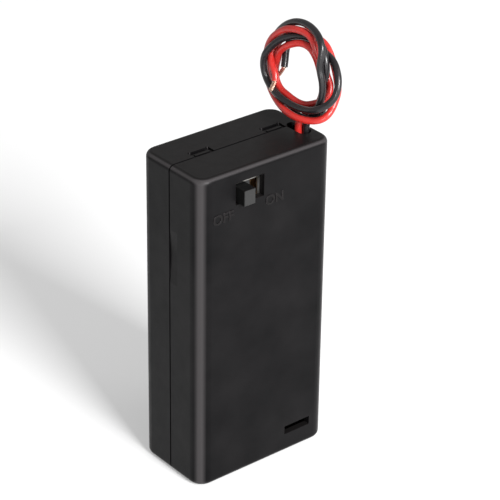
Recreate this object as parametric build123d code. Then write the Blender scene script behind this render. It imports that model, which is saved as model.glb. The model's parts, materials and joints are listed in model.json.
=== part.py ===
from build123d import *

import math
import os

# Enclosed holder for two round cells side by side, with a slide switch and two flexible leads.
# Millimetres. The origin is the middle of the bottom end and +Z runs up the long side. The front wall,
# with the switch, faces -Y, and the cover is the rear half of the box and lifts off towards +Y.

# Cells and the room round them
CELL_DIAMETER = 14.5
CELL_LENGTH = 50.5
CELL_GAP = 0.5
CELL_SIDE_CLEARANCE = 0.25
CELL_FACE_CLEARANCE = 0.65
CONTACT_ALLOWANCE = 5.8

# Moulded box
WALL = 1.4
CORNER_RADIUS = 3.0
END_FILLET = 1.2
PARTITION = 1.2
PARTITION_RISE = 4.0
SWITCH_BAY = 8.2
FIT = 0.1

# Joint between the two halves
SEAM_GAP = 0.08
GROOVE_DEPTH = 0.18
GROOVE_WIDTH = 0.34
RIM_THICKNESS = 0.6
RIM_HEIGHT = 0.8

# Latch tabs on both ends of the base, in notches of the cover
TAB_CENTRES = (-8.0, 9.6)
TAB_WIDTH = 4.7
TAB_RISE = 1.65
TAB_ROOT = 1.5
TAB_CORNER = 0.6
TAB_SINK = 0.3
TAB_RIDGE = 0.25
TAB_RIDGE_WIDTH = 0.5
TAB_RIDGE_Y = 0.7
NOTCH_HEADROOM = 0.45
NOTCH_RELIEF = 0.42

# Thumb recesses at the seam
THUMB_LENGTH = 11.5
THUMB_WIDTH = 2.4
THUMB_DEPTH = 0.3
THUMB_Z = 49.3

# Ribs and cradles in the bays
RIB_WIDTH = 1.0
RIB_CLEARANCE = 0.5
CRADLE_HEIGHTS = (18.0, 41.0)
CRADLE_THICKNESS = 1.2
CRADLE_RISE = 4.4
CRADLE_CLEARANCE = 0.2
COVER_RIB_HEIGHT = 2.2

# Core slot through the front wall
SLOT_X = 8.9
SLOT_Z = 5.25
SLOT_WIDTH = 6.5
SLOT_HEIGHT = 1.9

# Contact plates
PLATE = 0.4
PLATE_WIDTH = 11.0
PLATE_LIFT = 0.3
PLATE_RISE = 3.5
PLATE_CORNER = 0.8
RAIL_THICKNESS = 0.8
RAIL_LAP = 0.8
RAIL_DROP = 0.3
DOME_RADIUS = 2.2
DOME_HEIGHT = 0.9
TAIL_WIDTH = 3.0
TAIL_INSET = 2.3
TAIL_DROP = 1.8

# Contact springs
SPRING_WIRE = 0.7
SPRING_BASE_RADIUS = 4.0
SPRING_TAPER = 11.0
SPRING_PITCH = 1.9
SPRING_HEIGHT = 6.2

# Slide switch
SWITCH_X = -4.3
LEVER_WIDTH = 2.65
LEVER_HEIGHT = 3.25
LEVER_PROUD = 1.8
LEVER_TRAVEL = 2.75
LEVER_EDGE = 0.25
OPENING_SIDE_MARGIN = 0.75
OPENING_BELOW = 0.15
OPENING_ABOVE = 1.3
FRAME_WIDTH = 9.6
FRAME_HEIGHT = 5.8
FRAME_DEPTH = 3.9
FRAME_BEND = 0.6
SHEET = 0.4
FRAME_SLOT_MARGIN = 0.2
CRIMP_WIDTH = 1.6
CRIMP_LAP = 0.8
CRIMP_SPREAD = 6.8
SKIRT_WIDTH = 5.5
SKIRT_THICKNESS = 1.2
SKIRT_CLEARANCE = 0.2
WIPER_SHEET = 0.25
WIPER_WIDTH = 2.0
WIPER_LENGTH = 4.4
WIPER_BUMP = 0.6
BOARD = 1.0
PAD_THICKNESS = 0.3
PAD_WIDTH = 1.4
PAD_HEIGHT = 2.4
BLADE_THICKNESS = 0.5
BLADE_WIDTH = 1.6
BLADE_REACH = 2.6
BLADE_EYE = 0.9
BLADE_FIT = 0.05
POST_WIDTH = 1.2
POST_HEIGHT = 4.0
HOOK_LAP = 0.35
HOOK_RISE = 0.8

# Leads
LEAD_DIAMETER = 1.4
LEAD_STEP_X = 1.15
LEAD_STEP_Y = 1.0
LEAD_ROW_SHIFT = 0.05
RED_EXIT_Y = -2.7
FREE_RISE = 1.9
FREE_REACH = 3.9
BEND_SHARE = 0.45
EXIT_WIDTH = 2.75
EXIT_LOW_Y = -5.1
EXIT_HIGH_Y = 0.9
GUIDE_THICKNESS = 1.0
GUIDE_GAP = 1.2
SOLDER_RADIUS = 1.05
TIP_DIAMETER = 0.8

# Coil of the free leads, upright above the exit
COIL_OFFSET = (0.925, 1.2, 12.35)
COIL_HEADING = 96.0
COIL_LEAN = 6.0
COIL_RADIUS = 7.9
COIL_THICKNESS = 5.0

# Stripped ends, each from its sheath to its cut: angle in the coil, radius and depth towards the viewer
RED_TIP = ((-28.4, 5.8, 2.2), (-41.0, 7.6, 2.6))
BLACK_TIP = ((-3.0, 4.9, 0.2), (-21.7, 7.2, -0.4))

# Derived places
INNER_WIDTH = 2 * CELL_DIAMETER + CELL_GAP + 2 * CELL_SIDE_CLEARANCE
INNER_DEPTH = CELL_DIAMETER + 2 * CELL_FACE_CLEARANCE
BAY_LENGTH = CELL_LENGTH + CONTACT_ALLOWANCE
BOX_WIDTH = INNER_WIDTH + 2 * WALL
BOX_DEPTH = INNER_DEPTH + 2 * WALL
BAY_TOP = WALL + BAY_LENGTH
SWITCH_FLOOR = BAY_TOP + PARTITION
INNER_TOP = SWITCH_FLOOR + SWITCH_BAY
BOX_HEIGHT = INNER_TOP + WALL
FRONT_Y = -BOX_DEPTH / 2
FLOOR_Y = -INNER_DEPTH / 2
SIDE_X = INNER_WIDTH / 2
CELL_X = (CELL_DIAMETER + CELL_GAP) / 2
CELL_RADIUS = CELL_DIAMETER / 2
RIB_TOP = -math.sqrt(CELL_RADIUS**2 - (CELL_X - RIB_WIDTH / 2) ** 2) - RIB_CLEARANCE
SWITCH_Z = SWITCH_FLOOR + SWITCH_BAY / 2
FRAME_BACK = FLOOR_Y + FRAME_DEPTH
LEVER_X = SWITCH_X - LEVER_TRAVEL / 2
PLATE_LOW = FLOOR_Y + PLATE_LIFT
PLATE_HIGH = PARTITION_RISE + FIT + PLATE
EXIT_RIGHT = SIDE_X - FIT / 2
EXIT_X = EXIT_RIGHT - EXIT_WIDTH / 2
RED_EXIT = (EXIT_X - LEAD_ROW_SHIFT - LEAD_STEP_X / 2, RED_EXIT_Y)
BLACK_EXIT = (RED_EXIT[0] + LEAD_STEP_X, RED_EXIT[1] - LEAD_STEP_Y)
EXIT_MIDDLE = (EXIT_X, (RED_EXIT[1] + BLACK_EXIT[1]) / 2, BOX_HEIGHT)
COIL_CENTRE = Vector(EXIT_MIDDLE) + Vector(COIL_OFFSET)


def block(x0, x1, y0, y1, z0, z1):
    """A box between two corners."""
    return Pos((x0 + x1) / 2, (y0 + y1) / 2, (z0 + z1) / 2) * Box(x1 - x0, y1 - y0, z1 - z0)


def bar_x(x, y, z, width, depth, height):
    """A box given by its middle and its three sides."""
    return Pos(x, y, z) * Box(width, depth, height)


def rod_y(radius, length, x, y, z):
    """A round rod along Y, starting at y."""
    return Pos(x, y + length / 2, z) * Rot(90, 0, 0) * Cylinder(radius, length)


def end_walls():
    """The lowest and highest z of the bottom and the top end wall."""
    return ((0.0, WALL), (INNER_TOP, BOX_HEIGHT))


def closed_shell():
    """The whole hollow box before it is parted at the seam."""
    body = extrude(RectangleRounded(BOX_WIDTH, BOX_DEPTH, CORNER_RADIUS), BOX_HEIGHT)
    ends = body.faces().sort_by(Axis.Z)
    body = fillet(ends[0].edges() + ends[-1].edges(), END_FILLET)
    inside = extrude(RectangleRounded(INNER_WIDTH, INNER_DEPTH, CORNER_RADIUS - WALL), INNER_TOP - WALL)
    return body - Pos(0, 0, WALL) * inside


def seam_groove():
    """The narrow groove that runs round the outside of the seam."""
    half = GROOVE_WIDTH / 2
    wide = Pos(0, 0, BOX_HEIGHT / 2) * Box(2 * BOX_WIDTH, GROOVE_WIDTH, 2 * BOX_HEIGHT)
    core = extrude(
        Plane.XZ.offset(-half)
        * Pos(0, BOX_HEIGHT / 2)
        * RectangleRounded(BOX_WIDTH - 2 * GROOVE_DEPTH, BOX_HEIGHT - 2 * GROOVE_DEPTH, END_FILLET),
        GROOVE_WIDTH,
    )
    return wide - core


def inner_ring(thickness, height):
    """A frame just outside the hollow, from the seam upwards."""
    outside = block(
        -SIDE_X - thickness, SIDE_X + thickness, 0, height, WALL - thickness, INNER_TOP + thickness
    )
    return outside - block(-SIDE_X, SIDE_X, -height, 2 * height, WALL, INNER_TOP)


def tab_outline(centre, grow, top):
    """The latch tab's outline on the end wall, grown by a clearance at its sides."""
    height = top + TAB_ROOT
    return Pos(centre, (top - TAB_ROOT) / 2) * RectangleRounded(TAB_WIDTH + 2 * grow, height, TAB_CORNER)


def latch_tabs():
    """Tabs of the base that stand up past the seam, with a raised ridge, on both end walls."""
    tabs = []
    for low, high in end_walls():
        outward = low == 0.0
        face = TAB_SINK if outward else high - TAB_SINK
        inner = high if outward else low
        for centre in TAB_CENTRES:
            tab = extrude(Pos(0, 0, min(face, inner)) * tab_outline(centre, 0, TAB_RISE), abs(face - inner))
            ridge_z = face - TAB_RIDGE / 2 if outward else face + TAB_RIDGE / 2
            ridge_length = TAB_WIDTH - 2 * TAB_CORNER
            ridge = bar_x(centre, TAB_RIDGE_Y, ridge_z, ridge_length, TAB_RIDGE_WIDTH, TAB_RIDGE)
            tabs.append(tab + ridge)
    return tabs


def tab_notches():
    """Cutters for the cover's notches, with round reliefs in their corners."""
    cutters = []
    top = TAB_RISE + NOTCH_HEADROOM
    for low, high in end_walls():
        for centre in TAB_CENTRES:
            outline = tab_outline(centre, FIT, top)
            for side in (-1, 1):
                corner = centre + side * (TAB_WIDTH / 2 - NOTCH_RELIEF / 2)
                outline += Pos(corner, top - NOTCH_RELIEF / 2) * Circle(NOTCH_RELIEF)
            cutters.append(extrude(Pos(0, 0, low - WALL) * outline, 3 * WALL))
    return cutters


def exit_cutter(z0, z1):
    """The rounded passage of the two leads, between two heights."""
    length = EXIT_HIGH_Y - EXIT_LOW_Y
    middle = (EXIT_HIGH_Y + EXIT_LOW_Y) / 2
    outline = Pos(EXIT_X, middle) * Rot(0, 0, 90) * SlotOverall(length, EXIT_WIDTH)
    return extrude(Pos(0, 0, z0) * outline, z1 - z0)


def switch_opening():
    """The opening in the front wall that the lever slides in."""
    low = SWITCH_Z - LEVER_HEIGHT / 2 - OPENING_BELOW
    high = SWITCH_Z + LEVER_HEIGHT / 2 + OPENING_ABOVE
    half = (LEVER_WIDTH + LEVER_TRAVEL) / 2 + OPENING_SIDE_MARGIN
    return block(SWITCH_X - half, SWITCH_X + half, FRONT_Y - WALL, FLOOR_Y + FIT, low, high)


def cradles():
    """Low saddles across both bays, hollowed to the cells' curve."""
    saddles = []
    curve = Cylinder(CELL_RADIUS + CRADLE_CLEARANCE, 4 * CRADLE_THICKNESS)
    for z in CRADLE_HEIGHTS:
        plate = block(-SIDE_X, SIDE_X, FLOOR_Y, FLOOR_Y + CRADLE_RISE, z, z + CRADLE_THICKNESS)
        for side in (-1, 1):
            plate -= Pos(side * CELL_X, 0, z) * curve
        saddles.append(plate)
    return saddles


def contact_rails():
    """Rails in front of the contact plates, which hold them against the ends of the bays."""
    rails = []
    plate_edge = CELL_X + PLATE_WIDTH / 2
    inner_edge = CELL_X - PLATE_WIDTH / 2 + RAIL_LAP
    gap = PLATE + FIT
    for z in (WALL + gap, BAY_TOP - gap - RAIL_THICKNESS):
        for side in (-1, 1):
            low, high = sorted((side * (plate_edge - RAIL_LAP), side * SIDE_X))
            rails.append(block(low, high, FLOOR_Y, -RAIL_DROP, z, z + RAIL_THICKNESS))
        rails.append(block(-inner_edge, inner_edge, FLOOR_Y, RIB_TOP, z, z + RAIL_THICKNESS))
    return rails


def switch_posts():
    """Two posts beside the switch, each with a hook over its back edge."""
    posts = []
    top = FRAME_BACK + SHEET + HOOK_RISE + FIT
    for side in (-1, 1):
        near = SWITCH_X + side * (FRAME_WIDTH / 2 + FIT)
        low, high = sorted((near, near + side * POST_WIDTH))
        post = block(low, high, FLOOR_Y, top, SWITCH_Z - POST_HEIGHT / 2, SWITCH_Z + POST_HEIGHT / 2)
        tip = near - side * (HOOK_LAP + FIT)
        low, high = sorted((near, tip))
        hook_z = POST_HEIGHT / 4
        hook = block(low, high, top - HOOK_RISE, top, SWITCH_Z - hook_z, SWITCH_Z + hook_z)
        posts.append(post + hook)
    return posts


def lead_guide():
    """A wall across the leads just inside the exit, with the same passage through it."""
    high = INNER_TOP - GUIDE_GAP
    wall = block(EXIT_X - EXIT_WIDTH, SIDE_X, FLOOR_Y, -RAIL_DROP, high - GUIDE_THICKNESS, high)
    return wall - exit_cutter(high - 2 * GUIDE_THICKNESS, high + GUIDE_THICKNESS)


def thumb_recesses():
    """Shallow scoops beside the seam, one on each long side."""
    radius = ((THUMB_LENGTH / 2) ** 2 + THUMB_DEPTH**2) / (2 * THUMB_DEPTH)
    scoops = []
    for side in (-1, 1):
        x = side * (BOX_WIDTH / 2 + radius - THUMB_DEPTH)
        scoops.append(rod_y(radius, THUMB_WIDTH, x, -THUMB_WIDTH, THUMB_Z))
    return scoops


def base_shell():
    """The front half: outer walls, partition, ribs, rails, posts, latch tabs and every opening."""
    half = closed_shell() & block(-BOX_WIDTH, BOX_WIDTH, -BOX_DEPTH, 0, -WALL, BOX_HEIGHT + WALL)
    half += inner_ring(RIM_THICKNESS, RIM_HEIGHT)
    half -= seam_groove()
    for tab in latch_tabs():
        half += tab
    side = SIDE_X - RIM_THICKNESS
    half += block(-SIDE_X, SIDE_X, FLOOR_Y, 0, BAY_TOP, SWITCH_FLOOR)
    half += block(-side, side, -RAIL_DROP, PARTITION_RISE, BAY_TOP, SWITCH_FLOOR)
    half += block(-RIB_WIDTH / 2, RIB_WIDTH / 2, FLOOR_Y, RIB_TOP, WALL, BAY_TOP)
    for piece in cradles() + contact_rails() + switch_posts():
        half += piece
    half += lead_guide()
    half -= exit_cutter(INNER_TOP - FIT, BOX_HEIGHT + WALL)
    half -= exit_cutter(INNER_TOP - FIT, BOX_HEIGHT + WALL).moved(Pos(0, EXIT_HIGH_Y, 0))
    half -= switch_opening()
    half -= bar_x(SLOT_X, FRONT_Y + WALL / 2, SLOT_Z, SLOT_WIDTH, 2 * WALL, SLOT_HEIGHT)
    for scoop in thumb_recesses():
        half -= scoop
    return half


def cover():
    """The rear half: a shallow tray with a rebated rim, tab notches and a stiffening rib."""
    half = closed_shell() & block(-BOX_WIDTH, BOX_WIDTH, SEAM_GAP, BOX_DEPTH, -WALL, BOX_HEIGHT + WALL)
    half -= inner_ring(RIM_THICKNESS + FIT, RIM_HEIGHT + FIT)
    half -= seam_groove()
    for notch in tab_notches():
        half -= notch
    half -= exit_cutter(INNER_TOP - WALL, BOX_HEIGHT + WALL)
    back = INNER_DEPTH / 2
    half += block(-RIB_WIDTH / 2, RIB_WIDTH / 2, back - COVER_RIB_HEIGHT, back, WALL, INNER_TOP)
    return half


def switch_frame():
    """The bent steel frame of the switch, slotted for the lever and crimped over its board."""
    half = FRAME_HEIGHT / 2
    low, high = SWITCH_X - FRAME_WIDTH / 2, SWITCH_X + FRAME_WIDTH / 2
    outer = block(low, high, FLOOR_Y, FRAME_BACK, SWITCH_Z - half, SWITCH_Z + half)
    bends = outer.edges().filter_by(Axis.X).group_by(Axis.Y)[0]
    outer = fillet(bends, FRAME_BEND)
    room = half - SHEET
    past = 2 * SHEET
    inner = block(
        low - past, high + past, FLOOR_Y + SHEET, FRAME_BACK + past, SWITCH_Z - room, SWITCH_Z + room
    )
    frame = outer - inner
    slot_width = LEVER_WIDTH + LEVER_TRAVEL + 2 * FRAME_SLOT_MARGIN
    slot_height = LEVER_HEIGHT + 2 * FRAME_SLOT_MARGIN
    frame -= bar_x(SWITCH_X, FLOOR_Y, SWITCH_Z, slot_width, 4 * SHEET, slot_height)
    for side in (-1, 1):
        for end in (-1, 1):
            x = SWITCH_X + side * CRIMP_SPREAD / 2
            z0, z1 = sorted((SWITCH_Z + end * half, SWITCH_Z + end * (room - CRIMP_LAP)))
            frame += block(x - CRIMP_WIDTH / 2, x + CRIMP_WIDTH / 2, FRAME_BACK, FRAME_BACK + SHEET, z0, z1)
    return frame


def terminal_places():
    """The three terminals' x places, one travel of the lever apart."""
    return {
        "switch_terminal_off": SWITCH_X - LEVER_TRAVEL,
        "switch_terminal_common": SWITCH_X,
        "switch_terminal_on": SWITCH_X + LEVER_TRAVEL,
    }


def switch_board():
    """The insulating board that closes the back of the switch."""
    board = block(
        SWITCH_X - FRAME_WIDTH / 2,
        SWITCH_X + FRAME_WIDTH / 2,
        FRAME_BACK - BOARD,
        FRAME_BACK,
        SWITCH_Z - FRAME_HEIGHT / 2 + SHEET,
        SWITCH_Z + FRAME_HEIGHT / 2 - SHEET,
    )
    for x in terminal_places().values():
        width = BLADE_THICKNESS + 2 * BLADE_FIT
        height = BLADE_WIDTH + 2 * BLADE_FIT
        board -= bar_x(x, FRAME_BACK - BOARD / 2, SWITCH_Z, width, 2 * BOARD, height)
    return board


def switch_terminal(x):
    """A contact pad on the board's inner face, with a blade through the board and an eye for the wire."""
    board_face = FRAME_BACK - BOARD
    pad = bar_x(x, board_face - PAD_THICKNESS / 2, SWITCH_Z, PAD_WIDTH, PAD_THICKNESS, PAD_HEIGHT)
    end = FRAME_BACK + BLADE_REACH
    blade = block(
        x - BLADE_THICKNESS / 2,
        x + BLADE_THICKNESS / 2,
        board_face,
        end,
        SWITCH_Z - BLADE_WIDTH / 2,
        SWITCH_Z + BLADE_WIDTH / 2,
    )
    corners = blade.edges().filter_by(Axis.X).group_by(Axis.Y)[-1]
    blade = chamfer(corners, BLADE_WIDTH / 4)
    eye = Pos(x, end - BLADE_EYE, SWITCH_Z) * Rot(0, 90, 0) * Cylinder(BLADE_EYE / 2, 4 * BLADE_THICKNESS)
    return pad + (blade - eye)


def switch_lever():
    """The slider: a finger lever through the front wall on a wide skirt inside the frame."""
    skirt_front = FLOOR_Y + SHEET + FIT
    lever = block(
        LEVER_X - LEVER_WIDTH / 2,
        LEVER_X + LEVER_WIDTH / 2,
        FRONT_Y - LEVER_PROUD,
        skirt_front + SKIRT_THICKNESS / 2,
        SWITCH_Z - LEVER_HEIGHT / 2,
        SWITCH_Z + LEVER_HEIGHT / 2,
    )
    lever = fillet(lever.faces().sort_by(Axis.Y)[0].edges(), LEVER_EDGE)
    height = FRAME_HEIGHT - 2 * SHEET - 2 * SKIRT_CLEARANCE
    skirt_y = skirt_front + SKIRT_THICKNESS / 2
    return lever + bar_x(LEVER_X, skirt_y, SWITCH_Z, SKIRT_WIDTH, SKIRT_THICKNESS, height)


def switch_wiper():
    """The bridging strip under the slider, with two pressed bumps one terminal pitch apart."""
    top = FLOOR_Y + SHEET + FIT + SKIRT_THICKNESS
    pad_face = FRAME_BACK - BOARD - PAD_THICKNESS
    bump_y = pad_face - FIT - WIPER_BUMP
    low, high = SWITCH_Z - WIPER_WIDTH / 2, SWITCH_Z + WIPER_WIDTH / 2
    strip = block(LEVER_X - WIPER_LENGTH / 2, LEVER_X + WIPER_LENGTH / 2, top, top + WIPER_SHEET, low, high)
    for side in (-1, 1):
        x = LEVER_X + side * LEVER_TRAVEL / 2
        strip += Pos(x, bump_y, SWITCH_Z) * Cylinder(WIPER_BUMP, WIPER_WIDTH)
    for side in (-1, 1):
        x = LEVER_X + side * LEVER_TRAVEL / 2
        strip -= Pos(x, bump_y, SWITCH_Z) * Cylinder(WIPER_BUMP - WIPER_SHEET, 2 * WIPER_WIDTH)
    skirt_room = Box(2 * WIPER_LENGTH, WIPER_BUMP, 2 * WIPER_WIDTH)
    return strip - Pos(LEVER_X, top - WIPER_BUMP / 2, SWITCH_Z) * skirt_room


def dome(x, face_z, direction):
    """A pressed dome that stands out of a plate, and the dimple behind it."""
    radius = (DOME_RADIUS**2 + DOME_HEIGHT**2) / (2 * DOME_HEIGHT)
    centre = face_z + direction * (DOME_HEIGHT - radius)
    cap = Pos(x, 0, centre) * Sphere(radius)
    beyond = Pos(x, 0, face_z + direction * radius) * Box(4 * radius, 4 * radius, 2 * radius)
    return cap & beyond, Pos(x, 0, centre) * Sphere(radius - PLATE)


def end_plate(x0, x1, z0):
    """A flat contact plate across a bay's end, between two heights in Z one sheet apart."""
    middle = (PLATE_LOW + PLATE_RISE) / 2
    outline = Pos((x0 + x1) / 2, middle) * RectangleRounded(x1 - x0, PLATE_RISE - PLATE_LOW, PLATE_CORNER)
    return extrude(Pos(0, 0, z0) * outline, PLATE)


def tail_x(side):
    """The middle of the tail on one side's upper plate, set in from the plate's left end."""
    return side * CELL_X - PLATE_WIDTH / 2 + TAIL_INSET


def folded_tail(x):
    """The tail of an upper plate, folded over the partition into the switch bay."""
    z0 = BAY_TOP - PLATE
    far = SWITCH_FLOOR + FIT + PLATE
    half = TAIL_WIDTH / 2
    outside = block(x - half, x + half, PLATE_HIGH - TAIL_DROP - PLATE, PLATE_HIGH, z0, far)
    bends = outside.edges().filter_by(Axis.X).group_by(Axis.Y)[-1]
    outside = fillet(bends, PLATE)
    low, high = x - TAIL_WIDTH, x + TAIL_WIDTH
    hollow = block(low, high, PLATE_LOW, PLATE_HIGH - PLATE, z0 + PLATE, far - PLATE)
    below = block(low, high, PLATE_LOW, PLATE_RISE - PLATE_CORNER, z0 - PLATE, z0 + PLATE)
    return outside - hollow - below


def upper_plate(side):
    """A contact plate on the partition, in the bay on one side."""
    plate = end_plate(side * CELL_X - PLATE_WIDTH / 2, side * CELL_X + PLATE_WIDTH / 2, BAY_TOP - PLATE)
    return plate + folded_tail(tail_x(side))


def positive_plate():
    """The plate at the top of the left bay, domed towards the cell."""
    cap, dimple = dome(-CELL_X, BAY_TOP - PLATE, -1)
    return upper_plate(-1) + cap - dimple


def negative_plate():
    """The plate at the top of the right bay, which carries a spring."""
    return upper_plate(1)


def bridge_plate():
    """The plate across the bottom of both bays, domed in the right one and notched over the rib."""
    half = CELL_X + PLATE_WIDTH / 2
    cap, dimple = dome(CELL_X, WALL + PLATE, 1)
    plate = end_plate(-half, half, WALL) + cap - dimple
    notch = RIB_WIDTH / 2 + 3 * FIT
    return plate - block(-notch, notch, FLOOR_Y, RIB_TOP + 3 * FIT, 0, 2 * WALL)


def contact_spring():
    """A conical wire spring that hangs from a plate whose face is at the origin."""
    path = Helix(
        pitch=SPRING_PITCH,
        height=SPRING_HEIGHT,
        radius=SPRING_BASE_RADIUS,
        center=(0, 0, -SPRING_WIRE / 2),
        direction=(0, 0, -1),
        cone_angle=-SPRING_TAPER,
    )
    section = Plane(origin=path @ 0, z_dir=path % 0) * Circle(SPRING_WIRE / 2)
    return sweep(section, path=path, is_frenet=True)


def corner_radii(name, points):
    """The largest tangent arc at each inner point of a route, printed for reading."""
    spots = [Vector(p) for p in points]
    radii = []
    for before, here, after in zip(spots, spots[1:], spots[2:]):
        run_in, run_out = here - before, after - here
        turn = math.radians(run_in.get_angle(run_out))
        radii.append(BEND_SHARE * min(run_in.length, run_out.length) / math.tan(turn / 2))
    print(name, "radii", [round(r, 1) for r in radii])
    return radii


def tube(name, points, diameter):
    """A round cord along straight runs joined by tangent arcs."""
    path = FilletPolyline(*points, radius=corner_radii(name, points))
    section = Plane(origin=path @ 0, z_dir=path % 0) * Circle(diameter / 2)
    swept = sweep(section, path=path)
    ratio = swept.volume / (math.pi * diameter**2 / 4 * path.length)
    print(name, "length", round(path.length, 2), "volume over section times length", round(ratio, 4))
    return swept


def tail_end(side):
    """The middle of a folded tail's upper face, where a wire is soldered."""
    return (tail_x(side), PLATE_HIGH - TAIL_DROP / 2, SWITCH_FLOOR + FIT + PLATE)


def terminal_end(name):
    """The middle of a terminal's eye."""
    return (terminal_places()[name], FRAME_BACK + BLADE_REACH - BLADE_EYE, SWITCH_Z)


def inner_wires():
    """The three wires inside the switch bay, each from joint to joint."""
    lift = LEAD_DIAMETER / 2 + FIT
    plus = tail_end(-1)
    minus = tail_end(1)
    common = terminal_end("switch_terminal_common")
    live = terminal_end("switch_terminal_on")
    clear_y = common[1] + BLADE_EYE + lift
    routes = {
        "jumper_wire": [
            (plus[0], plus[1], plus[2] + lift),
            (plus[0] + 3.0, plus[1] - 0.5, plus[2] + 1.6),
            (common[0] - 2.4, clear_y + 0.5, SWITCH_Z - 0.6),
            (common[0], clear_y, SWITCH_Z),
        ],
        "lead_red_inner": [
            (live[0], clear_y, SWITCH_Z),
            (live[0] + 3.2, clear_y + 0.4, SWITCH_Z - 1.2),
            (live[0] + 7.0, clear_y - 0.2, SWITCH_Z - 2.6),
            (RED_EXIT[0] - 3.4, RED_EXIT[1] + 0.7, SWITCH_Z - 2.8),
            (RED_EXIT[0] - 1.6, RED_EXIT[1] + 0.1, SWITCH_Z - 2.0),
            (RED_EXIT[0], RED_EXIT[1], SWITCH_Z + 0.5),
            (RED_EXIT[0], RED_EXIT[1], BOX_HEIGHT),
        ],
        "lead_black_inner": [
            (minus[0], minus[1], minus[2] + lift),
            (minus[0] + 3.2, minus[1] - 0.4, minus[2] + lift + 0.2),
            (BLACK_EXIT[0] - 2.6, BLACK_EXIT[1] + 3.6, minus[2] + lift + 0.1),
            (BLACK_EXIT[0] - 0.3, BLACK_EXIT[1] + 1.0, SWITCH_Z - 2.4),
            (BLACK_EXIT[0], BLACK_EXIT[1], SWITCH_Z - 0.3),
            (BLACK_EXIT[0], BLACK_EXIT[1], BOX_HEIGHT),
        ],
    }
    return {name: tube(name, points, LEAD_DIAMETER) for name, points in routes.items()}


def free_leads():
    """The short stretches of the two leads between the exit and the coil."""
    routes = {
        "lead_red": [
            (RED_EXIT[0], RED_EXIT[1], BOX_HEIGHT),
            (RED_EXIT[0], RED_EXIT[1], BOX_HEIGHT + FREE_RISE),
            (RED_EXIT[0] + 0.1, RED_EXIT[1] + 0.5, BOX_HEIGHT + FREE_REACH),
        ],
        "lead_black": [
            (BLACK_EXIT[0], BLACK_EXIT[1], BOX_HEIGHT),
            (BLACK_EXIT[0], BLACK_EXIT[1], BOX_HEIGHT + FREE_RISE),
            (BLACK_EXIT[0] + 0.1, BLACK_EXIT[1] + 0.3, BOX_HEIGHT + FREE_REACH),
        ],
    }
    return {name: tube(name, points, LEAD_DIAMETER) for name, points in routes.items()}


def coil_frame():
    """The coil's plane: X along its heading, Y up, Z out of the box's left side."""
    heading = math.radians(COIL_HEADING)
    lean = math.radians(COIL_LEAN)
    along = Vector(math.cos(heading), math.sin(heading), 0)
    outward = Vector(math.sin(heading), -math.cos(heading), 0)
    upward = Vector(0, 0, 1) * math.cos(lean) + outward * math.sin(lean)
    return Plane(origin=COIL_CENTRE, x_dir=along, z_dir=along.cross(upward))


def coil_point(angle, radius, depth):
    """A point of the coil by its angle, its radius and its depth towards the viewer."""
    turn = math.radians(angle)
    local = Vector(radius * math.cos(turn), radius * math.sin(turn), -depth)
    return coil_frame().from_local_coords(local)


def lead_tip(start, end):
    """A stripped and tinned lead end, straight between two points of the coil."""
    first, last = coil_point(*start), coil_point(*end)
    line = Line(first, last)
    return sweep(Plane(origin=first, z_dir=line % 0) * Circle(TIP_DIAMETER / 2), path=line)


def solder(place, neighbours):
    """A round solder joint, hollowed where the wire and the metal pass through it."""
    bead = Pos(place) * Sphere(SOLDER_RADIUS)
    for neighbour in neighbours:
        bead -= neighbour
    pieces = bead.solids().sort_by(SortBy.VOLUME)
    return pieces[-1]


def build_parts():
    """Every named piece of the holder."""
    parts = {
        "base_shell": base_shell(),
        "cover": cover(),
        "switch_frame": switch_frame(),
        "switch_board": switch_board(),
        "switch_lever": switch_lever(),
        "switch_wiper": switch_wiper(),
        "positive_plate": positive_plate(),
        "negative_plate": negative_plate(),
        "bridge_plate": bridge_plate(),
        "negative_spring": Pos(CELL_X, 0, BAY_TOP - PLATE) * contact_spring(),
        "bridge_spring": Pos(-CELL_X, 0, WALL + PLATE) * Rot(180, 0, 0) * contact_spring(),
        "leads_coil": coil_frame() * Torus(COIL_RADIUS, COIL_THICKNESS / 2),
        "lead_red_tip": lead_tip(*RED_TIP),
        "lead_black_tip": lead_tip(*BLACK_TIP),
    }
    for name, x in terminal_places().items():
        parts[name] = switch_terminal(x)
    parts.update(inner_wires())
    parts.update(free_leads())
    plus, minus = tail_end(-1), tail_end(1)
    common, live = terminal_end("switch_terminal_common"), terminal_end("switch_terminal_on")
    on_tail = (0, 0, LEAD_DIAMETER / 4)
    on_blade = (0, LEAD_DIAMETER / 2, 0)
    joints = {
        "solder_positive": (plus, on_tail, ("positive_plate", "jumper_wire")),
        "solder_negative": (minus, on_tail, ("negative_plate", "lead_black_inner")),
        "solder_common": (common, on_blade, ("switch_terminal_common", "jumper_wire")),
        "solder_on": (live, on_blade, ("switch_terminal_on", "lead_red_inner")),
    }
    for name, (place, shift, neighbours) in joints.items():
        parts[name] = solder(Vector(place) + Vector(shift), [parts[n] for n in neighbours])
    return parts


def main():
    os.makedirs("parts", exist_ok=True)
    for name, shape in build_parts().items():
        export_step(shape, os.path.join("parts", name + ".step"))


main()
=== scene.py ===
"""Dresses the cell holder: the camera and the leads first, then the lettering, materials, floor and light.

Lengths are metres in the frame of the CAD model. The bottom end stands on z = 0, the front wall faces -Y
and the leads leave the top end at its +X corner.
"""

import json
import math

import bmesh
import bpy
import numpy as np
from mathutils import Matrix, Vector


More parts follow.
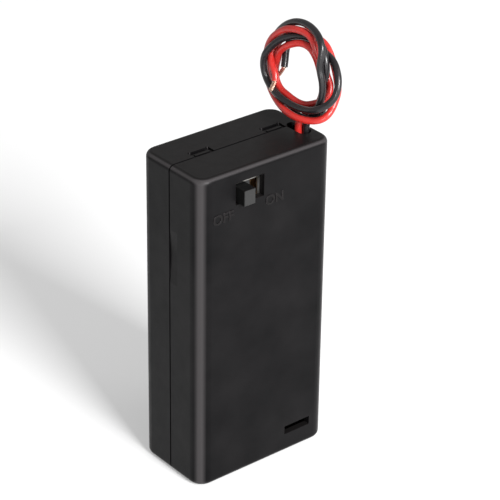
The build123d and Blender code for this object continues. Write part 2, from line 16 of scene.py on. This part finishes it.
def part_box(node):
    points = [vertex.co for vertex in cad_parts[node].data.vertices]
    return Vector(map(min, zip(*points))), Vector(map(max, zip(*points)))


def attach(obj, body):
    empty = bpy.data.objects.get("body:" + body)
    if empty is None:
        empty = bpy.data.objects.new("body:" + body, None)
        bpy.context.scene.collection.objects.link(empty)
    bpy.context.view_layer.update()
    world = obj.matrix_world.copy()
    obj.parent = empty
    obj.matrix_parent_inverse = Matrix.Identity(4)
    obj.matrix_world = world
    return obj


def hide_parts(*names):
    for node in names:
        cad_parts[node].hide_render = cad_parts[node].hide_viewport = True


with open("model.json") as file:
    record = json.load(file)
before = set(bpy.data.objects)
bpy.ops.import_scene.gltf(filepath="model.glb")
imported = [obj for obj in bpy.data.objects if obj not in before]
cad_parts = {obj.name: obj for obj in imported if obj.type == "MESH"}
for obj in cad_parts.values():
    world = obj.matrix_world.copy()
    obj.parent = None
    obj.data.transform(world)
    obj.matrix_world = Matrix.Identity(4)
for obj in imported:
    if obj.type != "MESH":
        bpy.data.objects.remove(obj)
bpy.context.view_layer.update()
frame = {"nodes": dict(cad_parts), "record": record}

MM = 0.001
FRONT_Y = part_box("base_shell")[0][1]

# Camera, from a fit of the box's corners to the photograph. Angles are degrees.
CAMERA_PLACE = Vector((-0.23862, -0.29519, 0.25283))
CAMERA_AZIMUTH = -39.36
CAMERA_ELEVATION = 28.69
CAMERA_ROLL = 0.82
FOCAL_LENGTH = 158.4
SENSOR = 36.0
NEAR_CLIP = 0.01

# Leads, from their exit in the top end, and the coil above it
LEAD_DIAMETER = 1.4 * MM
RED_EXIT = Vector((12.95, -2.7, 68.5)) * MM
BLACK_EXIT = Vector((14.1, -3.7, 68.5)) * MM
EXIT_RISE = 1.6 * MM
COIL_CENTRE = Vector((14.5, -2.0, 79.85)) * MM
COIL_HEADING = math.radians(96)
COIL_LEAN = math.radians(6)

# The wound turns, from the photograph: turned angle in degrees (0 at the coil's rear side and
# falling as the lead winds on) and radius as the picture shows them, and depth towards the viewer, in
# millimetres
RED_TURNS = [
    (-93, 9.8, 0.3),
    (-100, 8.5, 0.0),
    (-114, 7.5, -0.8),
    (-130, 6.9, -1.6),
    (-150, 6.3, -2.1),
    (-175, 5.6, -1.6),
    (-200, 5.1, -0.9),
    (-220, 5.5, 0.0),
    (-245, 6.2, 0.4),
    (-275, 6.3, 0.4),
    (-300, 6.2, 0.7),
    (-330, 7.0, 0.8),
    (-360, 8.2, 0.8),
    (-388, 8.1, 0.5),
    (-405, 7.6, 0.5),
    (-420, 6.8, 0.5),
    (-450, 6.5, 0.3),
    (-480, 6.8, 0.3),
    (-505, 7.4, 0.2),
    (-525, 7.6, -0.4),
    (-550, 6.3, -1.2),
    (-575, 5.9, -0.9),
    (-597, 6.7, 0.2),
    (-617, 8.1, 0.9),
    (-640, 8.5, 0.8),
    (-670, 9.2, 0.5),
    (-700, 10.1, 0.0),
    (-735, 10.2, -0.4),
    (-765, 10.1, 0.8),
    (-795, 9.8, 1.9),
    (-825, 9.8, 1.9),
    (-855, 10.1, 0.9),
    (-880, 9.4, -1.2),
    (-910, 8.9, -1.8),
    (-940, 8.7, -1.8),
    (-965, 8.6, -1.5),
    (-990, 8.6, -1.4),
    (-1020, 8.8, -1.2),
    (-1050, 8.9, -0.6),
    (-1075, 8.9, 0.6),
    (-1091, 8.2, 1.6),
    (-1102, 7.9, 2.0),
]
BLACK_TURNS = [
    (-106, 9.6, -0.6),
    (-112, 8.6, -0.2),
    (-121, 7.9, 0.4),
    (-135, 7.2, 0.8),
    (-150, 6.3, 1.0),
    (-175, 5.2, 1.1),
    (-205, 4.8, 1.1),
    (-220, 5.6, 1.6),
    (-238, 7.8, 1.9),
    (-260, 9.4, 0.9),
    (-290, 10.1, 0.0),
    (-320, 9.9, -1.0),
    (-350, 9.7, -1.5),
    (-385, 9.6, -1.5),
    (-420, 9.1, -0.6),
    (-450, 8.9, 0.2),
    (-475, 8.9, 0.3),
    (-492, 8.3, -0.5),
    (-510, 7.2, -1.1),
    (-530, 6.4, -0.5),
    (-555, 6.2, 0.6),
    (-580, 7.0, 0.3),
    (-605, 7.4, -0.6),
    (-630, 7.3, -0.8),
    (-655, 7.4, 0.0),
    (-685, 8.25, 1.0),
    (-715, 9.6, 1.3),
    (-742, 10.4, 1.1),
    (-765, 9.5, 1.6),
    (-795, 8.0, 1.4),
    (-825, 7.6, 1.5),
    (-855, 8.0, 1.4),
    (-885, 9.1, 1.0),
    (-910, 9.2, 0.6),
    (-940, 8.1, 0.2),
    (-965, 7.2, -0.8),
    (-1000, 7.3, -1.5),
    (-1035, 7.1, -1.2),
    (-1055, 6.3, -0.6),
    (-1070, 5.5, 0.0),
]

# The radii of the turns were read from the picture a little too large
READING_SCALE = 0.975

# Stripped ends, each from its sheath to its cut: angle in the coil, radius and depth towards the viewer
RED_TIP = ((-28.4, 5.8, 2.2), (-41.0, 7.6, 2.6))
BLACK_TIP = ((-3.0, 4.9, 0.2), (-21.7, 7.2, -0.4))
TIP_STRANDS = 7
TIP_STRAND_RADIUS = 0.135 * MM
TIP_LAY = 4.2 * MM  # length of one whole twist
TIP_RINGS = 28
TIP_SIDES = 8
CLOSING_FROM = 0.85  # share of the length after which the strands close up
CLOSING = 0.35  # share of their offset that they have lost at the cut

# How the wound turns settle against each other
ROUTE_STEP = 6.0  # degrees of the coil from one point of a route to the next
SETTLE_ROUNDS = 600
SETTLE_GAP = 1.62 * MM  # least distance between two centrelines
OWN_REACH = 4.2 * MM  # length of lead within which its own points don't push each other
ACROSS_FADE = 0.01  # share of a move across the line of sight that each round takes back
MOVE_EASE = 0.125  # share by which each move nears the mean of its neighbours
BEND_EASE = 0.3  # share of a bend's excess that each round straightens
BEND_RADIUS = 2.9 * MM  # a bend tighter than this is eased
HELD_FIRST = 3  # points at the exit that stay
HELD_LAST = 2  # points at the stripped end that stay
STRAIGHT = 1e-9  # a sag that counts as none

# Smoothness of the leads: order of their curve, steps between two control points, and a bevel's own steps
CORD_ORDER = 3
CORD_STEPS = 8
CORD_ROUNDNESS = 6

# Raised lettering beside the switch: piece, words, x of their middle and z of their foot in millimetres
LETTERING = (("letters_off", "OFF", -10.7, 58.5), ("letters_on", "ON", 1.8, 58.9))
LETTER_HEIGHT = 2.0 * MM
CAPITAL_SHARE = 0.7  # height of a capital in a text of size 1
LETTER_RISE = 0.1 * MM
LETTER_EDGE = 0.03 * MM
LETTER_SPREAD = 0.02 * MM

# Range of a noise's values that colour and roughness follow
NOISE_LOW, NOISE_HIGH = 0.3, 0.7

# How far a surface's direction lies along an axis where it begins to count as facing that way and where it
# fully does, and along its nearest axis where a wall begins to count as a rounded edge and where it fully
# does.
# The painted light on tops and the painted highlights on fronts and rounded edges follow these ranges.
FACING_FROM, FACING_FULL = 0.8, 0.95
EDGE_FROM, EDGE_FULL = 0.94, 0.8

# Sockets of a Mix node that mixes colours
MIX_FACTOR, MIX_FIRST, MIX_SECOND, MIX_RESULT = 0, 6, 7, 2

# Share of the usual reflection that the matt plastic keeps
PLASTIC_SHEEN = 0.085

# Stretch of the noise along the lines of rolled metal and along the fibres of the board
ROLLED_LINES = (0.06, 1, 1)
BOARD_FIBRES = (1, 1, 0.25)

# Floor
FLOOR_HALF = 3.0
FLOOR_DROP = 0.2 * MM
FLOOR_TONE = 0.86
FLOOR_WHITE_SHARE = 0.24  # share of plain white that the camera and glossy surfaces see in it

# Lamps: name, place, point that they light, width and height, and watts
LAMPS = (
    ("key", (-0.1, -1.5, 0.77), (0, 0, 0.03), (0.6, 0.6), 58.0),
    ("edge", (-0.45, -0.4, 0.06), (0, 0, 0.03), (0.08, 0.3), 1.25),
    ("rim", (0.46, -0.4, 0.56), (0, 0, 0.06), (0.3, 0.1), 0.6),
)
SURROUNDING_LIGHT = 0.5
SEEN_WHITE = 1.0


def camera_axes():
    """The camera's right, up and back directions, before its roll."""
    azimuth, elevation = math.radians(CAMERA_AZIMUTH), math.radians(CAMERA_ELEVATION)
    right = Vector((math.cos(azimuth), math.sin(azimuth), 0))
    back = Vector((right.y, -right.x, 0)) * math.cos(elevation) + Vector((0, 0, math.sin(elevation)))
    return right, back.cross(right), back


def add_camera():
    """The camera at the photograph's place, turned by azimuth, elevation and a slight roll."""
    turn = Matrix(camera_axes()).transposed() @ Matrix.Rotation(math.radians(CAMERA_ROLL), 3, "Z")
    data = bpy.data.cameras.new("camera")
    data.lens = FOCAL_LENGTH
    data.sensor_width = SENSOR
    data.clip_start = NEAR_CLIP
    camera = bpy.data.objects.new("camera", data)
    camera.matrix_world = Matrix.Translation(CAMERA_PLACE) @ turn.to_4x4()
    bpy.context.collection.objects.link(camera)
    bpy.context.scene.camera = camera


def coil_axes():
    """The coil's two flat axes and its axis towards the viewer."""
    along = Vector((math.cos(COIL_HEADING), math.sin(COIL_HEADING), 0))
    outward = Vector((along.y, -along.x, 0))
    upward = Vector((0, 0, 1)) * math.cos(COIL_LEAN) + outward * math.sin(COIL_LEAN)
    return along, upward, upward.cross(along)


def coil_point(angle, radius, depth):
    """A point of the coil by angle in degrees, and radius and depth towards the viewer in millimetres."""
    along, upward, facing = coil_axes()
    turn = math.radians(angle)
    flat = along * radius * math.cos(turn) + upward * radius * math.sin(turn)
    return COIL_CENTRE + (flat + facing * depth) * MM


def seen_point(angle, radius, depth):
    """A point of the coil by the angle and radius that the picture shows, at its depth towards the viewer."""
    facing, sight = coil_axes()[2], camera_axes()[2]
    return coil_point(angle, radius * READING_SCALE, 0) + sight * (depth / sight.dot(facing)) * MM


def blended(before, start, end, after, share):
    """A station between start and end, on a smooth line through all four."""
    span = end[0] - start[0]
    station = [start[0] + span * share]
    for axis in (1, 2):
        slope_in = (end[axis] - before[axis]) / (end[0] - before[0]) * span
        slope_out = (after[axis] - start[axis]) / (after[0] - start[0]) * span
        rise = end[axis] - start[axis]
        bend = share * (1 - share) * ((1 - share) * (slope_in - rise) - share * (slope_out - rise))
        station.append(start[axis] + rise * share + bend)
    return station


def lead_route(exit_point, turns, tip):
    """Points from the exit through the wound turns to the stripped end, about one every ROUTE_STEP degrees."""
    points = [exit_point, exit_point + Vector((0, 0, EXIT_RISE))]
    turned = turns[0][0] - turns[-1][0]
    count = round(turned / ROUTE_STEP)
    for step in range(count + 1):
        angle = turns[0][0] - turned * step / count
        place = max(i for i, station in enumerate(turns[:-1]) if station[0] >= angle)
        start, end = turns[place], turns[place + 1]
        before, after = turns[max(place - 1, 0)], turns[min(place + 2, len(turns) - 1)]
        share = (angle - start[0]) / (end[0] - start[0])
        points.append(seen_point(*blended(before, start, end, after, share)))
    points.append(coil_point(*tip[0]))
    return np.array(points)


def eased(route):
    """A route with each point moved towards the middle of its neighbours where it bends too sharply."""
    inward = (route[:-2] + route[2:]) / 2 - route[1:-1]
    sag = np.linalg.norm(inward, axis=1)
    chord = np.linalg.norm(route[2:] - route[:-2], axis=1) / 2
    over = np.clip(sag - chord**2 / (2 * BEND_RADIUS), 0, None) / np.maximum(sag, STRAIGHT)
    moved = route.copy()
    moved[1:-1] += BEND_EASE * over[:, None] * inward
    moved[:HELD_FIRST], moved[-HELD_LAST:] = route[:HELD_FIRST], route[-HELD_LAST:]
    return moved


def settled(routes):
    """Lays the wound leads against each other. Points nearer than SETTLE_GAP push each other apart.

    What they move along the line of sight stays, what they move across it fades, and sharp bends ease.
    """
    sight = np.array(camera_axes()[2])
    ends = np.cumsum([0] + [len(route) for route in routes])
    spans = [slice(first, last) for first, last in zip(ends[:-1], ends[1:])]
    start = np.concatenate(routes)
    lead = np.repeat(range(len(routes)), np.diff(ends))
    pitch = np.linalg.norm(np.diff(routes[0], axis=0), axis=1).mean()
    order = np.arange(len(start))
    beside = (lead[:, None] == lead) & (np.abs(order[:, None] - order) * pitch < OWN_REACH)
    here = start.copy()
    for _ in range(SETTLE_ROUNDS):
        gap = here[:, None] - here
        apart = np.where(beside, np.inf, np.linalg.norm(gap, axis=2))
        short = np.clip(SETTLE_GAP - apart, 0, None)
        crowd = np.sqrt(np.maximum((short > 0).sum(axis=1), 1))
        move = here + (gap * (short / apart / 2)[..., None]).sum(axis=1) / crowd[:, None] - start
        move -= ACROSS_FADE * (move - (move @ sight)[:, None] * sight)
        for span in spans:
            part = move[span]
            padded = np.concatenate([part[:1], part, part[-1:]])
            part += MOVE_EASE * ((padded[:-2] + padded[2:]) / 2 - part)
            part[:HELD_FIRST] = part[-HELD_LAST:] = 0
            here[span] = eased(start[span] + part)
    return [here[span] for span in spans]


def control_points(route):
    """The two points at the exit, every second one of the turns, and the last."""
    return [*route[:2], *route[2:-1:2], route[-1]]


def new_object(name, data):
    """An object in the scene that holds this data."""
    thing = bpy.data.objects.new(name, data)
    bpy.context.collection.objects.link(thing)
    return thing


def new_mesh(name, shape, smooth=True):
    """An object from a bmesh, which is freed."""
    mesh = bpy.data.meshes.new(name)
    bmesh.ops.recalc_face_normals(shape, faces=shape.faces)
    shape.to_mesh(mesh)
    shape.free()
    for face in mesh.polygons:
        face.use_smooth = smooth
    return new_object(name, mesh)


def add_spline(name, points, radius):
    """A round smooth cord along control points.

    A curve's box counts the radius of its points, so that is kept small and scales a larger bevel.
    """
    curve = bpy.data.curves.new(name, "CURVE")
    curve.dimensions = "3D"
    curve.bevel_depth = radius / MM
    curve.bevel_resolution = CORD_ROUNDNESS
    curve.resolution_u = CORD_STEPS
    curve.use_fill_caps = True
    spline = curve.splines.new("NURBS")
    spline.points.add(len(points) - 1)
    for point, place in zip(spline.points, points):
        point.co = (*place, 1)
        point.radius = MM
    spline.order_u = CORD_ORDER
    spline.use_endpoint_u = True
    return new_object(name, curve)


def add_tip(name, ends):
    """A stripped end: one strand in the middle and the others twisted round it, closing up at their cut."""
    start, end = (coil_point(*place) for place in ends)
    length = (end - start).length
    turn = (end - start).to_track_quat("Z", "Y").to_matrix()
    shape = bmesh.new()
    for strand in range(TIP_STRANDS):
        offset = 0 if strand == 0 else 2 * TIP_STRAND_RADIUS
        before = None
        for ring in range(TIP_RINGS + 1):
            along = length * ring / TIP_RINGS
            twist = 2 * math.pi * (along / TIP_LAY + strand / (TIP_STRANDS - 1))
            closed = max(0.0, along / length - CLOSING_FROM) / (1 - CLOSING_FROM)
            reach = offset * (1 - CLOSING * closed)
            middle = Vector((reach * math.cos(twist), reach * math.sin(twist), along))
            corners = []
            for side in range(TIP_SIDES):
                spin = 2 * math.pi * side / TIP_SIDES
                edge = Vector((math.cos(spin), math.sin(spin), 0)) * TIP_STRAND_RADIUS
                corners.append(shape.verts.new(start + turn @ (middle + edge)))
            if before is None:
                shape.faces.new(corners[::-1])
            else:
                for side in range(TIP_SIDES):
                    other = (side + 1) % TIP_SIDES
                    shape.faces.new((before[side], before[other], corners[other], corners[side]))
            before = corners
        shape.faces.new(before)
    return new_mesh(name, shape)


def add_leads():
    """Both leads and their stripped ends, each with the slot of its material."""
    red_tip = add_tip("red_tip_strands", RED_TIP)
    black_tip = add_tip("black_tip_strands", BLACK_TIP)
    routes = (lead_route(RED_EXIT, RED_TURNS, RED_TIP), lead_route(BLACK_EXIT, BLACK_TURNS, BLACK_TIP))
    red_points, black_points = (control_points(route) for route in settled(routes))
    red = add_spline("red_lead", red_points, LEAD_DIAMETER / 2)
    black = add_spline("black_lead", black_points, LEAD_DIAMETER / 2)
    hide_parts("lead_red_tip")
    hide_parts("lead_black_tip")
    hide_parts("lead_red", "leads_coil")
    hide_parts("lead_black", "leads_coil")
    pieces = [
        (red, "red_insulation"),
        (black, "black_insulation"),
        (red_tip, "tinned_copper"),
        (black_tip, "tinned_copper"),
    ]
    for piece, slot in pieces:
        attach(piece, "base")
    return pieces


def add_lettering():
    """OFF and ON, raised on the front wall beside the switch, each with the slot of its material."""
    pieces = []
    upright = Matrix.Rotation(math.radians(90), 4, "X")
    for name, words, middle, foot in LETTERING:
        text = bpy.data.curves.new(name, "FONT")
        text.body = words
        text.size = LETTER_HEIGHT / CAPITAL_SHARE
        text.align_x = "CENTER"
        text.extrude = LETTER_RISE
        text.bevel_depth = LETTER_EDGE
        text.offset = LETTER_SPREAD
        piece = new_object(name, text)
        piece.matrix_world = Matrix.Translation((middle * MM, FRONT_Y, foot * MM)) @ upright
        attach(piece, "base")
        pieces.append((piece, "black_abs"))
    return pieces


class Nodes:
    """Builds the node tree of one slot's material. Scales of noise are per metre."""

    def __init__(self, slot):
        self.slot = slot
        self.material = bpy.data.materials.new(slot)
        self.material.use_nodes = True
        self.tree = self.material.node_tree
        self.shader = self.tree.nodes["Principled BSDF"]
        own = self.tree.nodes.new("ShaderNodeTexCoord").outputs
        self.place, self.facing = own["Object"], own["Normal"]

    def link(self, out, into):
        """Connects an output to an input."""
        self.tree.links.new(out, into)

    def noise(self, scale, detail=4.0, roughness=0.55, stretch=None):
        """A noise over the object's own place, stretched along an axis if asked."""
        node = self.tree.nodes.new("ShaderNodeTexNoise")
        node.inputs["Scale"].default_value = scale
        node.inputs["Detail"].default_value = detail
        node.inputs["Roughness"].default_value = roughness
        place = self.place
        if stretch:
            mapping = self.tree.nodes.new("ShaderNodeMapping")
            mapping.inputs["Scale"].default_value = stretch
            self.link(place, mapping.inputs["Vector"])
            place = mapping.outputs["Vector"]
        self.link(place, node.inputs["Vector"])
        return node.outputs["Fac"]

    def clouded(self, noise, dark, light):
        """A colour that goes from dark to light over a noise."""
        node = self.tree.nodes.new("ShaderNodeValToRGB")
        stops = ((NOISE_LOW, dark), (NOISE_HIGH, light))
        for element, (position, colour) in zip(node.color_ramp.elements, stops):
            element.position = position
            element.color = (*colour, 1)
        self.link(noise, node.inputs["Fac"])
        return node.outputs["Color"]

    def ranged(self, value, low, high, start=NOISE_LOW, end=NOISE_HIGH):
        """A value whose range from start to end is taken to the one from low to high."""
        node = self.tree.nodes.new("ShaderNodeMapRange")
        limits = (("From Min", start), ("From Max", end), ("To Min", low), ("To Max", high))
        for name, limit in limits:
            node.inputs[name].default_value = limit
        self.link(value, node.inputs["Value"])
        return node.outputs["Result"]

    def calculated(self, operation, first, second=None):
        """A value worked out from one or two others."""
        node = self.tree.nodes.new("ShaderNodeMath")
        node.operation = operation
        self.link(first, node.inputs[0])
        if second:
            self.link(second, node.inputs[1])
        return node.outputs["Value"]

    def facing_parts(self):
        """The X, Y and Z parts of the direction that the surface faces."""
        split = self.tree.nodes.new("ShaderNodeSeparateXYZ")
        self.link(self.facing, split.inputs["Vector"])
        return split.outputs

    def front(self):
        """1 on what faces the front, and 0 elsewhere."""
        return self.ranged(self.facing_parts()["Y"], 1.0, 0.0, -FACING_FULL, -FACING_FROM)

    def top(self):
        """1 on what faces up, and 0 elsewhere."""
        return self.ranged(self.facing_parts()["Z"], 0.0, 1.0, FACING_FROM, FACING_FULL)

    def rounded_edge(self):
        """1 on the rounded edges of a box that lies along the axes, and 0 on its walls."""
        across, back, up = (self.calculated("ABSOLUTE", part) for part in self.facing_parts())
        most = self.calculated("MAXIMUM", self.calculated("MAXIMUM", across, back), up)
        return self.ranged(most, 0.0, 1.0, EDGE_FROM, EDGE_FULL)

    def mixed(self, factor, colour, other):
        """A colour that goes over to another by a factor."""
        node = self.tree.nodes.new("ShaderNodeMix")
        node.data_type = "RGBA"
        self.link(factor, node.inputs[MIX_FACTOR])
        self.link(colour, node.inputs[MIX_FIRST])
        node.inputs[MIX_SECOND].default_value = (*other, 1)
        return node.outputs[MIX_RESULT]

    def bump(self, height, strength, distance, below=None):
        """A bump from a height, over another bump if there is one."""
        node = self.tree.nodes.new("ShaderNodeBump")
        node.inputs["Strength"].default_value = strength
        node.inputs["Distance"].default_value = distance
        self.link(height, node.inputs["Height"])
        if below:
            self.link(below, node.inputs["Normal"])
        return node.outputs["Normal"]

    def finish(self, colour, roughness, normal, numbers=()):
        """Connects what varies, sets the shader's own numbers and gives the slot with its material."""
        for out, name in ((colour, "Base Color"), (roughness, "Roughness"), (normal, "Normal")):
            self.link(out, self.shader.inputs[name])
        for name, value in numbers:
            self.shader.inputs[name].default_value = value
        return self.slot, self.material


def moulded_plastic(slot, dark, light, top_light, edge_highlight, grain, roughness, front_highlight=None):
    """Moulded plastic with a fine spark-eroded grain, painted light on top and a painted highlight on rounded
    edges.

    A painted highlight can lie over what faces the front, where a lever's front face catches the light.
    """
    nodes = Nodes(slot)
    slow = nodes.noise(scale=90, detail=3)
    fine = nodes.noise(scale=grain, detail=2, roughness=0.6)
    marks = nodes.noise(scale=420, detail=5, roughness=0.7)
    # Painted light: what faces up is given a paler colour.
    walls = nodes.mixed(nodes.top(), nodes.clouded(slow, dark, light), top_light)
    # Painted highlight: the rounded edges are given a paler colour.
    colour = nodes.mixed(nodes.rounded_edge(), walls, edge_highlight)
    # Painted highlight: what faces the front is given a paler colour.
    if front_highlight:
        colour = nodes.mixed(nodes.front(), colour, front_highlight)
    sheen = nodes.ranged(marks, low=roughness - 0.06, high=roughness + 0.06)
    coarse = nodes.bump(marks, strength=0.08, distance=0.05 * MM)
    normal = nodes.bump(fine, strength=0.35, distance=0.03 * MM, below=coarse)
    return nodes.finish(colour, sheen, normal, [("Specular IOR Level", PLASTIC_SHEEN)])


def plated_metal(slot, dark, light, roughness):
    """Rolled and plated strip: fine lines along it and slight clouding."""
    nodes = Nodes(slot)
    lines = nodes.noise(scale=700, detail=2, stretch=ROLLED_LINES)
    cloud = nodes.noise(scale=160, detail=4)
    colour = nodes.clouded(cloud, dark, light)
    sheen = nodes.ranged(lines, low=roughness - 0.08, high=roughness + 0.1)
    normal = nodes.bump(lines, strength=0.12, distance=0.02 * MM)
    return nodes.finish(colour, sheen, normal, [("Metallic", 1.0)])


def insulation(slot, dark, light, roughness):
    """Extruded lead insulation with a soft gloss and slight waviness."""
    nodes = Nodes(slot)
    cloud = nodes.noise(scale=260, detail=3)
    fine = nodes.noise(scale=2600, detail=2)
    colour = nodes.clouded(cloud, dark, light)
    sheen = nodes.ranged(fine, low=roughness - 0.05, high=roughness + 0.08)
    ripple = nodes.bump(fine, strength=0.1, distance=0.02 * MM)
    normal = nodes.bump(cloud, strength=0.15, distance=0.1 * MM, below=ripple)
    return nodes.finish(colour, sheen, normal)


def laminate(slot, dark, light):
    """Paper laminate with short fibres."""
    nodes = Nodes(slot)
    fibres = nodes.noise(scale=900, detail=5, stretch=BOARD_FIBRES)
    colour = nodes.clouded(fibres, dark, light)
    sheen = nodes.ranged(fibres, low=0.45, high=0.65)
    normal = nodes.bump(fibres, strength=0.15, distance=0.02 * MM)
    return nodes.finish(colour, sheen, normal)


def add_materials():
    """The materials of the record's slots, by slot."""
    materials = (
        moulded_plastic(
            "black_abs",
            dark=(0.0014, 0.0013, 0.0016),
            light=(0.0052, 0.0048, 0.0052),
            # The top's colour is painted light.
            top_light=(0.0075, 0.0068, 0.0069),
            # The rounded edges' colour is a painted highlight.
            edge_highlight=(0.034, 0.0315, 0.0325),
            grain=5200,
            roughness=0.38,
        ),
        moulded_plastic(
            "lever_plastic",
            dark=(0.004, 0.004, 0.004),
            light=(0.006, 0.006, 0.006),
            # The top's colour is painted light.
            top_light=(0.006, 0.006, 0.006),
            # The rounded edges' colour is a painted highlight.
            edge_highlight=(0.03, 0.03, 0.03),
            grain=4200,
            roughness=0.42,
            # The front face's colour is a painted highlight.
            front_highlight=(0.026, 0.026, 0.026),
        ),
        # Darkened below bare nickel: painted shade for the switch frame that sits in the shade of its opening.
        plated_metal("nickel_steel", (0.2, 0.195, 0.185), (0.3, 0.29, 0.275), roughness=0.36),
        plated_metal("spring_steel", (0.5, 0.49, 0.47), (0.62, 0.61, 0.58), roughness=0.26),
        plated_metal("contact_bronze", (0.6, 0.4, 0.2), (0.72, 0.5, 0.27), roughness=0.3),
        laminate("phenolic_board", (0.16, 0.075, 0.03), (0.3, 0.15, 0.06)),
        plated_metal("solder", (0.5, 0.51, 0.53), (0.65, 0.66, 0.68), roughness=0.22),
        insulation("red_insulation", (0.34, 0.013, 0.011), (0.46, 0.022, 0.017), roughness=0.3),
        insulation("black_insulation", (0.005, 0.0042, 0.005), (0.009, 0.0075, 0.009), roughness=0.3),
        plated_metal("tinned_copper", (0.72, 0.45, 0.34), (0.86, 0.62, 0.5), roughness=0.3),
    )
    return dict(materials)


def paint(materials, pieces):
    """Every CAD node and every new piece gets its slot's material."""
    slots = {part["node"]: part["material_slot"] for part in frame["record"]["subparts"]}
    for name, node in frame["nodes"].items():
        for slot in node.material_slots:
            slot.material = materials[slots[name]]
    for piece, slot in pieces:
        piece.data.materials.clear()
        piece.data.materials.append(materials[slot])


def add_floor():
    """A plain pale floor that runs on behind the object and keeps its shadow."""
    shape = bmesh.new()
    corners = ((-1, -1), (1, -1), (1, 1), (-1, 1))
    shape.faces.new([shape.verts.new((x * FLOOR_HALF, y * FLOOR_HALF, -FLOOR_DROP)) for x, y in corners])
    floor = new_mesh("floor", shape, smooth=False)
    material = bpy.data.materials.new("floor")
    material.use_nodes = True
    tree = material.node_tree
    tree.nodes.clear()
    out = tree.nodes.new("ShaderNodeOutputMaterial")
    mix = tree.nodes.new("ShaderNodeMixShader")
    matt = tree.nodes.new("ShaderNodeBsdfDiffuse")
    white = tree.nodes.new("ShaderNodeEmission")
    path = tree.nodes.new("ShaderNodeLightPath")
    seen = tree.nodes.new("ShaderNodeMath")
    share = tree.nodes.new("ShaderNodeMath")
    matt.inputs["Color"].default_value = (FLOOR_TONE, FLOOR_TONE, FLOOR_TONE, 1)
    white.inputs["Strength"].default_value = SEEN_WHITE
    seen.operation = "MAXIMUM"
    tree.links.new(path.outputs["Is Camera Ray"], seen.inputs[0])
    tree.links.new(path.outputs["Is Glossy Ray"], seen.inputs[1])
    share.operation = "MULTIPLY"
    share.inputs[1].default_value = FLOOR_WHITE_SHARE
    tree.links.new(seen.outputs["Value"], share.inputs[0])
    tree.links.new(share.outputs["Value"], mix.inputs["Fac"])
    tree.links.new(matt.outputs["BSDF"], mix.inputs[1])
    tree.links.new(white.outputs["Emission"], mix.inputs[2])
    tree.links.new(mix.outputs["Shader"], out.inputs["Surface"])
    floor.data.materials.append(material)


def add_lamp(name, place, target, size, power):
    """A soft rectangular lamp aimed at a point."""
    data = bpy.data.lights.new(name, "AREA")
    data.shape = "RECTANGLE"
    data.size, data.size_y = size
    data.energy = power
    lamp = new_object(name, data)
    aim = Vector(target) - Vector(place)
    lamp.matrix_world = Matrix.Translation(place) @ aim.to_track_quat("-Z", "Y").to_matrix().to_4x4()


def add_light():
    """Soft studio light: a key lamp in front, two weak lamps for the edges and a pale surrounding."""
    for lamp in LAMPS:
        add_lamp(*lamp)
    world = bpy.data.worlds.new("surrounding")
    world.use_nodes = True
    tree = world.node_tree
    around = tree.nodes["Background"]
    seen = tree.nodes.new("ShaderNodeBackground")
    mix = tree.nodes.new("ShaderNodeMixShader")
    path = tree.nodes.new("ShaderNodeLightPath")
    for background, strength in ((around, SURROUNDING_LIGHT), (seen, SEEN_WHITE)):
        background.inputs["Color"].default_value = (1, 1, 1, 1)
        background.inputs["Strength"].default_value = strength
    tree.links.new(path.outputs["Is Camera Ray"], mix.inputs["Fac"])
    tree.links.new(around.outputs["Background"], mix.inputs[1])
    tree.links.new(seen.outputs["Background"], mix.inputs[2])
    tree.links.new(mix.outputs["Shader"], tree.nodes["World Output"].inputs["Surface"])
    bpy.context.scene.world = world


def main():
    add_camera()
    pieces = add_leads() + add_lettering()
    paint(add_materials(), pieces)
    add_floor()
    add_light()
    bpy.context.scene.view_settings.view_transform = "Standard"
    bpy.context.view_layer.update()


main()
